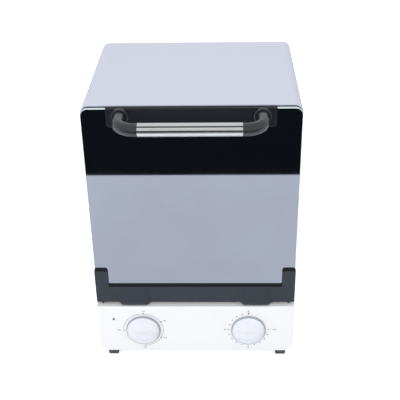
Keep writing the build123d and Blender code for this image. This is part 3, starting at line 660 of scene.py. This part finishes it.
# Indicator lamp: small smoked lens with a domed front in a thin white collar, pushed
# into the panel from behind.
lens_moulding = finish(
    "lens_moulding", rgb(40, 36, 38), rgb(52, 46, 48), 400, (0.1, 0.16), (0.02, 0.02)
)
lens_profile = (
    (1.5, -6.5), (1.5, -9.2), (1.4, -9.5), (1.1, -9.8), (0.6, -10.0), (0.15, -10.05),
)
lens_rings = [
    [spot(lamp_x + px, depth, lamp_z + pz) for px, pz in ring_of(radius)]
    for radius, depth in lens_profile
]
lamp_half = 3.2
lamp_case = block(
    spot(lamp_x - lamp_half, -6.4, lamp_z - lamp_half),
    spot(lamp_x + lamp_half, 5.5, lamp_z + lamp_half),
)
piece(
    "lamp_lens", [loft(lens_rings), lamp_case], lens_moulding, "cabinet",
    ["indicator_lamp"],
)
collar_steps = ((1.55, -7.0), (2.0, -7.0), (2.0, -9.1), (1.9, -9.25), (1.6, -9.25), (1.55, -9.1))
collar_rings = [
    [spot(lamp_x + px, depth, lamp_z + pz) for px, pz in ring_of(radius)]
    for radius, depth in collar_steps
]
piece(
    "lamp_collar", [loft(collar_rings + [collar_rings[0]], "none")], panel_moulding, "cabinet",
)

# Knobs: glossy white mouldings pushed onto the shafts. A low cone rises inside a round
# skirt whose edge is painted grey as shade of the gap round the knob, and a wing grip
# stands across the cone, highest in the middle.
knob_moulding = finish(
    "knob_moulding", rgb(229, 231, 236), rgb(234, 236, 241), 120, (0.3, 0.34), (0.01, 0.02)
)
skirt_painted_shade = finish(
    "skirt_painted_shade", rgb(158, 162, 170), rgb(172, 176, 183), 900, (0.5, 0.6), (0.05, 0.03)
)
knob_back = -9.5
knob_steps = 96
cone_reach = 21.3
skirt_profile = ((20.6, 0.9), (21.2, 0.0), (22.2, 0.0), (22.5, 0.3), (22.5, 2.2))
wing_half = 4.6
wing_flank = 3.6


def knob_height(px, pz):
    """Height of the knob's face above its back, at a place in its own plane."""
    reach = sqrt(px * px + pz * pz)
    if reach > cone_reach:
        return 2.6 + 0.5 * sqrt(max(0.0, 1 - max(0.0, (reach - 21.4) / 1.1) ** 2))
    cone = 3.1 + 4.1 * (1 - reach / cone_reach) ** 0.9
    crown = 3.2 + 12.9 * (1 - min(abs(px) / 21.4, 1.0) ** 2.6) ** 0.62
    outside = abs(pz) - wing_half * (1.0 - 0.22 * (px / 22) ** 2)
    share = min(max(0.5 - outside / wing_flank, 0.0), 1.0)
    grip = share * share * (3 - 2 * share)
    shoulder = max(0.0, 1 - max(0.0, abs(pz) - 2.6) / 14.0) ** 1.3
    return cone + max(crown - cone, 0.0) * (0.5 * grip + 0.5 * shoulder)


def knob_shape(x, turned):
    """Skirt and face of a knob, built on rings round its middle."""
    reaches = [22.3, 21.9, 21.4] + [21.0 - 0.6 * i for i in range(35)]
    rings = []
    for reach, skirt_height in list(skirt_profile) + [(reach, None) for reach in reaches]:
        ring = []
        for px, pz in ring_of(reach, knob_steps):
            height = knob_height(px, pz) if skirt_height is None else skirt_height
            across = px * cos(turned) - pz * sin(turned)
            up = px * sin(turned) + pz * cos(turned)
            ring.append(spot(x + across, knob_back - height, knob_z + up))
        rings.append(ring)
    return loft(rings)


for name, x, turned in (("temperature", -knob_x, pi), ("timer", knob_x, 0.0)):
    knob = piece(
        f"{name}_grip", [knob_shape(x, turned)], knob_moulding, f"{name}_dial",
        [f"{name}_knob"], 60,
    )
    # the skirt's outer faces take the grey painted shade of the gap round the knob
    knob.data.materials.append(skirt_painted_shade)
    for face in knob.data.polygons:
        out = face.center / mm - Vector((x, 0, knob_z))
        if sqrt(out.x**2 + out.z**2) > cone_reach:
            face.material_index = 1

# Hinges: steel eyes welded to the front frame, pins pressed into the door's barrels,
# and the quadrant stays that guide and stop the door.
spring_wire = finish(
    "spring_wire", rgb(150, 150, 152), rgb(172, 172, 174), 800, (0.24, 0.34), (0.04, 0.03), 1.0
)
for side in ("left", "right"):
    dress(f"hinge_knuckle_{side}", zinc_plate)
    dress(f"hinge_pin_{side}", spring_wire)
    dress(f"stay_{side}", zinc_plate)

# Return springs: close-wound steel wire, hooked through the base plate's lug and the
# tail of the stay, so they stretch as the door comes down.
spring_x = 114
spring_behind = 35.4
hook_behind = spring_behind + 1.6
hook_radius = 3.4
hook_low = 39.4
hook_high = 78.4
coil_radius = 3.6
coil_low = 48.0
coil_length = 22.0
coil_turns = 14
coil_steps = coil_turns * 20
for side, x in (("left", -spring_x), ("right", spring_x)):
    wire = []
    for step in range(9):
        angle = pi * (1 + step / 8)
        across, up = hook_radius * cos(angle), hook_radius * sin(angle)
        wire.append(spot(x + across, hook_behind, hook_low + up))
    wire.append(spot(x + hook_radius, spring_behind + 0.8, 44.0))
    for step in range(coil_steps + 1):
        angle = 2 * pi * step / 20
        across, back = coil_radius * cos(angle), coil_radius * sin(angle)
        rise = coil_length * step / coil_steps
        wire.append(spot(x + across, spring_behind + back, coil_low + rise))
    wire.append(spot(x + hook_radius, spring_behind + 0.8, 73.6))
    for step in range(9):
        angle = pi * step / 8
        across, up = hook_radius * cos(angle), hook_radius * sin(angle)
        wire.append(spot(x + across, hook_behind, hook_high + up))
    spring = piece(
        f"return_spring_{side}", [tube(wire, 0.6 * mm, 8)], spring_wire, None,
        ["door_springs"], 0,
    )
    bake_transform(spring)

# Door glass: tempered pane with a dark mirror coating on both faces. Its ground and
# polished edges are bare glass, so they show pale.
mirror_glass = finish(
    "mirror_glass", rgb(138, 142, 153), rgb(144, 149, 160), 6, (0.02, 0.035), (0.0, 0.01), 1.0
)
glass_tree = mirror_glass.node_tree
glass_surface = glass_tree.nodes["Principled BSDF"]
glass_facing = glass_tree.nodes.new("ShaderNodeTexCoord")
glass_split = glass_tree.nodes.new("ShaderNodeSeparateXYZ")
glass_side = glass_tree.nodes.new("ShaderNodeMath")
glass_side.operation = "ABSOLUTE"
glass_edge = glass_tree.nodes.new("ShaderNodeMath")
glass_edge.operation = "LESS_THAN"
glass_edge.inputs[1].default_value = 0.9
glass_polish = glass_tree.nodes.new("ShaderNodeBsdfPrincipled")
glass_polish.inputs["Base Color"].default_value = rgb(206, 216, 218)
glass_polish.inputs["Roughness"].default_value = 0.3
glass_mix = glass_tree.nodes.new("ShaderNodeMixShader")
glass_out = glass_tree.nodes["Material Output"]
glass_tree.links.new(glass_facing.outputs["Normal"], glass_split.inputs[0])
glass_tree.links.new(glass_split.outputs["Y"], glass_side.inputs[0])
glass_tree.links.new(glass_side.outputs[0], glass_edge.inputs[0])
glass_tree.links.new(glass_edge.outputs[0], glass_mix.inputs["Fac"])
glass_tree.links.new(glass_surface.outputs[0], glass_mix.inputs[1])
glass_tree.links.new(glass_polish.outputs[0], glass_mix.inputs[2])
glass_tree.links.new(glass_mix.outputs[0], glass_out.inputs["Surface"])
dress("door_glass", mirror_glass)

# Door clamp: zinc-plated strip behind the glass, drawn to the lower frame by seven
# pan-head screws.
dress("door_clamp", zinc_plate)
clamp_spots = [(x, 113.0) for x in (-104, -40, 0, 40, 104)] + [(-119.5, 122.0), (119.5, 122.0)]
piece(
    "clamp_screws", [pan_head(x, 6.4, z, 1, 2.8, 1.7) for x, z in clamp_spots],
    bright_plate, "door",
)

# Lower frame: dark plastic moulding with a fine matt texture. Its lip slopes back to
# the glass along the strip and the ears, and two short lugs stand below its ends. The
# lip's upward faces are painted near black as shade.
dark_moulding = finish(
    "dark_moulding", rgb(49, 53, 60), rgb(56, 60, 67), 1500, (0.46, 0.56), (0.15, 0.06)
)
dark_moulding.node_tree.nodes["Principled BSDF"].inputs["Specular IOR Level"].default_value = 0.2
lip_painted_shade = finish(
    "lip_painted_shade", rgb(12, 14, 18), rgb(18, 20, 25), 1500, (0.5, 0.6), (0.1, 0.05)
)
lip_painted_shade.node_tree.nodes["Principled BSDF"].inputs["Specular IOR Level"].default_value = 0.2


def frame_ring(behind, drop, inset):
    """Outline of the strip and its ears; the tops may be lowered and the sides drawn in."""
    half, ear_half = housing_half - inset, 112.0 + inset
    low, strip, ear = 94.0 + inset, 121.5 - drop, 146.0 - drop
    points = [(-half, low), (half, low)]
    for centre_x, centre_z, radius, start in (
        (half - 3, ear - 3, 3, 0), (ear_half + 3, ear - 3, 3, 1),
    ):
        for step in range(7):
            angle = pi / 2 * (start + step / 6)
            points.append((centre_x + radius * cos(angle), centre_z + radius * sin(angle)))
    for step in range(7):
        angle = -pi / 2 * step / 6
        points.append((ear_half - 2 + 2 * cos(angle), strip + 2 + 2 * sin(angle)))
    points += [(-x, z) for x, z in reversed(points[2:])]
    return [spot(x, behind, z) for x, z in points]


strip_shape = loft(
    [
        frame_ring(0.0, 0.0, 0.0), frame_ring(-0.8, 0.0, 0.0), frame_ring(-2.6, 2.6, 0.0),
        frame_ring(-2.9, 3.0, 0.1), frame_ring(-3.0, 3.4, 0.4),
    ]
)
sill = block(spot(-housing_half, 0.0, 101.5), spot(housing_half, 4.0, 104.4))
lug_x = 121.5
lugs = [
    loft(
        [
            [spot(x + px, -1.6 + py, z) for px, py in rounded(half, half, 0.4, 2)]
            for half, z in ((1.1, 94.2), (1.1, 91.8), (0.7, 91.4))
        ]
    )
    for x in (-lug_x, lug_x)
]
lower_frame = piece(
    "lower_frame", [strip_shape, sill] + lugs, dark_moulding, "door",
    ["door_lower_frame"],
)
lower_frame.data.materials.append(lip_painted_shade)
# faces of the lip that look up and forward take the near-black painted shade
for face in lower_frame.data.polygons:
    if face.normal.z > 0.15 and face.normal.y < -0.3:
        face.material_index = 1

# Hinge barrels: part of the same moulding, faired into the strip, each with a window
# behind for the steel eye and a pin pressed through its middle.
barrel_radius = 6.4
hinge_behind = -3.5
hinge_z = 97.5
fairing_top = 117.0
barrel_start = 57.0
barrel_end = 101.0
barrel_fade = 7.0
window_x = 78
window_half = 10


def barrel_section(x, bulge):
    """Loop round a barrel at one place along it; bulge fades it into the strip."""
    loop = [(-2.6, fairing_top)]
    for step in range(25):
        angle = radians(172 + 188 * step / 24)
        depth = hinge_behind + barrel_radius * cos(angle)
        height = hinge_z + barrel_radius * sin(angle)
        front = min(-2.6, -2.6 + bulge * (depth + 2.6)) if depth < -2.6 else depth
        low = max(height, 94.2 + bulge * (height - 94.2)) if height < 94.2 else height
        loop.append((front, low))
    loop += [(2.9, 101.2), (0.0, 101.2), (0.0, fairing_top)]
    return [spot(x, depth, height) for depth, height in loop]


for side, turn in (("left", -1), ("right", 1)):
    sections = []
    for step in range(29):
        along = barrel_start + (barrel_end - barrel_start) * step / 28
        ramp = min((along - barrel_start) / barrel_fade, (barrel_end - along) / barrel_fade, 1.0)
        sections.append(barrel_section(turn * along, ramp * ramp * (3 - 2 * ramp)))
    barrel = piece(
        f"hinge_barrel_{side}", [loft(sections)], dark_moulding, "door", (), 40
    )
    window_low = spot(turn * window_x - window_half, -7.5, 88)
    window_high = spot(turn * window_x + window_half, 8, 101.5)
    cut(barrel, [block(window_low, window_high)])

# Handle bracket: matt moulded cap over the top edge of the glass, with softened edges
# and a lip behind that clips it on.
bracket_half = 98.5
bracket_top = 367.9
handle_moulding = finish(
    "handle_moulding", rgb(18, 21, 27), rgb(25, 28, 34), 1500, (0.5, 0.6), (0.15, 0.06)
)
handle_moulding.node_tree.nodes["Principled BSDF"].inputs["Specular IOR Level"].default_value = 0.2


def bracket_ring(inset, behind):
    """Outline of the bracket's face: square above, rounded below, drawn in by an inset."""
    half = bracket_half - inset
    low, high = 344.5 + inset, bracket_top - inset
    radius = 4.0
    points = [(half, high), (-half, high)]
    for step in range(9):
        angle = pi + pi / 2 * step / 8
        points.append((-half + radius + radius * cos(angle), low + radius + radius * sin(angle)))
    for step in range(9):
        angle = 1.5 * pi + pi / 2 * step / 8
        points.append((half - radius + radius * cos(angle), low + radius + radius * sin(angle)))
    return [spot(x, behind, z) for x, z in points]


bracket_rings = [bracket_ring(0.0, 0.0), bracket_ring(0.0, -1.9)]
for step in range(1, 5):
    angle = pi / 2 * step / 4
    bracket_rings.append(bracket_ring(1.1 - 1.1 * cos(angle), -1.9 - 1.1 * sin(angle)))
bracket_cap = block(spot(-bracket_half, -0.1, 366.7), spot(bracket_half, 5.8, bracket_top))
bracket_lip = block(spot(-bracket_half, 4.0, 352.0), spot(bracket_half, 5.8, 367.0))
piece(
    "bracket_cap", [loft(bracket_rings), bracket_cap, bracket_lip], handle_moulding, "door",
    ["handle_bracket"],
)

# Handle legs: cranked plastic elbows, glossier than the bracket, each rising from a
# collar of two rings and ending in a spigot inside the bar.
elbow_moulding = finish(
    "elbow_moulding", rgb(28, 31, 35), rgb(36, 39, 43), 1200, (0.2, 0.27), (0.1, 0.05)
)
leg_x = 82
leg_end = 58.5
leg_radius = 7.5
bar_back = -40.25
handle_z = 359.0
collar_profile = (
    (9.2, -2.8), (10.0, -3.2), (10.0, -4.4), (9.3, -4.9), (9.3, -5.2), (9.8, -5.5), (9.8, -6.4),
    (9.2, -7.0), (7.4, -7.0),
)
for side, turn in (("left", -1), ("right", 1)):
    leg = bent(
        [
            spot(turn * leg_x, -3.2, handle_z), spot(turn * leg_x, bar_back, handle_z),
            spot(turn * leg_end, bar_back, handle_z),
        ],
        20 * mm, 20,
    )
    collar_rings = [
        [spot(turn * leg_x + px, depth, handle_z + pz) for px, pz in ring_of(radius, 48)]
        for radius, depth in collar_profile
    ]
    spigot = tube(
        (spot(turn * 58.7, bar_back, handle_z), spot(turn * 49, bar_back, handle_z)), 5.0 * mm, 32
    )
    piece(
        f"handle_elbow_{side}", [tube(leg, leg_radius * mm, 40), loft(collar_rings), spigot],
        elbow_moulding, "door", ["handle_elbows"] if turn < 0 else (),
    )

# Handle bar: drawn aluminium tube, satin anodised, with two pairs of long grooves.
# It is slipped over the spigots of the two legs.
drawn_aluminium = finish(
    "drawn_aluminium", rgb(190, 191, 193), rgb(204, 205, 207), 900, (0.26, 0.38), (0.1, 0.03),
    1.0, (0.03, 1, 1),
)
bar_radius = 7.75
bar_bore = 5.05
bar_half = 58.4
bar_shoulder = 58.1
groove_floor = 6.75
groove_half_angle = 6.2
groove_angles = (130.5, 169.5, 310.5, 349.5)
bar_outline = []
bar_inside = []
for step in range(180):
    angle = 2.0 * step
    near = min(abs(angle - mark) for mark in groove_angles)
    reach = bar_radius if near > groove_half_angle else groove_floor
    across, up = cos(radians(angle)), sin(radians(angle))
    bar_outline.append((reach * across, reach * up))
    bar_inside.append((bar_bore * across, bar_bore * up))


def bar_ring(outline, x, scale=1.0):
    """Outline of the bar or its bore at one place along it."""
    return [spot(x, bar_back + px * scale, handle_z + pz * scale) for px, pz in outline]


bar_rings = [
    bar_ring(bar_inside, -bar_half), bar_ring(bar_outline, -bar_half, 0.97),
    bar_ring(bar_outline, -bar_shoulder), bar_ring(bar_outline, bar_shoulder),
    bar_ring(bar_outline, bar_half, 0.97), bar_ring(bar_inside, bar_half),
]
handle_bar = piece(
    "handle_tube", [loft(bar_rings + [bar_rings[0]], "none")], drawn_aluminium, "door",
    ["handle_bar"], 40,
)
groove_shade = finish(
    "groove_shade", rgb(52, 53, 56), rgb(66, 67, 70), 900, (0.5, 0.6), (0.1, 0.03)
)
handle_bar.data.materials.append(groove_shade)
for face in handle_bar.data.polygons:
    out = face.center - spot(0, bar_back, handle_z)
    if 6.0 * mm < sqrt(out.y**2 + out.z**2) < 7.2 * mm and abs(out.x) < 50 * mm:
        face.material_index = 1

# Studio: a plain pale floor, a black drape on it well in front of the machine that
# only glossy surfaces see, and soft light from large boxes above and in front.
floor_reach = 4.0
floor_lift_strength = 0.62
floor_mesh = bpy.data.meshes.new("floor")
floor_shape = bmesh.new()
bmesh.ops.create_grid(floor_shape, x_segments=2, y_segments=2, size=floor_reach)
floor_shape.to_mesh(floor_mesh)
floor_shape.free()
floor = bpy.data.objects.new("floor", floor_mesh)
bpy.context.scene.collection.objects.link(floor)


def seen_share(tree):
    """One for what the camera sees, straight or in metal or through glass, else nought."""
    path = tree.nodes.new("ShaderNodeLightPath")
    share = path.outputs["Is Camera Ray"]
    for ray in ("Is Glossy Ray", "Is Transmission Ray"):
        either = tree.nodes.new("ShaderNodeMath")
        either.operation = "MAXIMUM"
        tree.links.new(share, either.inputs[0])
        tree.links.new(path.outputs[ray], either.inputs[1])
        share = either.outputs[0]
    return share


floor_finish = bpy.data.materials.new("floor")
floor_finish.use_nodes = True
floor_tree = floor_finish.node_tree
floor_surface = floor_tree.nodes["Principled BSDF"]
floor_surface.inputs["Base Color"].default_value = rgb(232, 234, 240)
floor_surface.inputs["Roughness"].default_value = 0.9
floor_glow = floor_tree.nodes.new("ShaderNodeEmission")
floor_glow.inputs["Color"].default_value = (1.0, 1.0, 1.0, 1.0)
floor_lift = floor_tree.nodes.new("ShaderNodeAddShader")
floor_share = floor_tree.nodes.new("ShaderNodeMath")
floor_share.operation = "MULTIPLY"
floor_share.inputs[1].default_value = floor_lift_strength
floor_tree.links.new(seen_share(floor_tree), floor_share.inputs[0])
floor_tree.links.new(floor_share.outputs[0], floor_glow.inputs["Strength"])
floor_tree.links.new(floor_surface.outputs[0], floor_lift.inputs[0])
floor_tree.links.new(floor_glow.outputs[0], floor_lift.inputs[1])
floor_tree.links.new(floor_lift.outputs[0], floor_tree.nodes["Material Output"].inputs["Surface"])
floor_mesh.materials.append(floor_finish)

drape_front = -0.61
drape_mesh = bpy.data.meshes.new("drape")
drape_shape = bmesh.new()
drape_corners = [(-3, drape_front - 2), (3, drape_front - 2), (3, drape_front), (-3, drape_front)]
drape_shape.faces.new([drape_shape.verts.new((x, y, 0.0005)) for x, y in drape_corners])
drape_shape.to_mesh(drape_mesh)
drape_shape.free()
drape = bpy.data.objects.new("drape", drape_mesh)
drape.visible_camera = False
drape.visible_diffuse = False
drape.visible_shadow = False
drape_finish = bpy.data.materials.new("drape")
drape_finish.use_nodes = True
drape_surface = drape_finish.node_tree.nodes["Principled BSDF"]
drape_surface.inputs["Base Color"].default_value = rgb(30, 33, 38)
drape_surface.inputs["Roughness"].default_value = 1.0
drape_surface.inputs["Specular IOR Level"].default_value = 0.0
drape_mesh.materials.append(drape_finish)
bpy.context.scene.collection.objects.link(drape)

world = bpy.data.worlds.new("studio")
bpy.context.scene.world = world
world.use_nodes = True
world_tree = world.node_tree
world_light = world_tree.nodes["Background"]
world_light.inputs["Color"].default_value = (0.96, 0.97, 1.0, 1.0)
world_light.inputs["Strength"].default_value = 0.55
world_backdrop = world_tree.nodes.new("ShaderNodeBackground")
world_backdrop.inputs["Color"].default_value = (1.0, 1.0, 1.0, 1.0)
world_backdrop.inputs["Strength"].default_value = 1.0
world_mix = world_tree.nodes.new("ShaderNodeMixShader")
world_tree.links.new(seen_share(world_tree), world_mix.inputs["Fac"])
world_tree.links.new(world_light.outputs[0], world_mix.inputs[1])
world_tree.links.new(world_backdrop.outputs[0], world_mix.inputs[2])
world_tree.links.new(world_mix.outputs[0], world_tree.nodes["World Output"].inputs["Surface"])


def softbox(name, place, aim, size, power):
    """Square area light that points at a place."""
    lamp = bpy.data.lights.new(name, "AREA")
    lamp.shape = "SQUARE"
    lamp.size = size
    lamp.energy = power
    light = bpy.data.objects.new(name, lamp)
    light.location = place
    light.rotation_euler = (Vector(aim) - Vector(place)).to_track_quat("-Z", "Y").to_euler()
    light.visible_glossy = False
    bpy.context.scene.collection.objects.link(light)


softbox("overhead", (0.2, 0.1, 1.9), (0, 0, 0.2), 1.6, 12)
softbox("front", (-0.5, -1.8, 1.2), (0, 0, 0.15), 1.4, 22)

bpy.context.scene.view_settings.view_transform = "Standard"
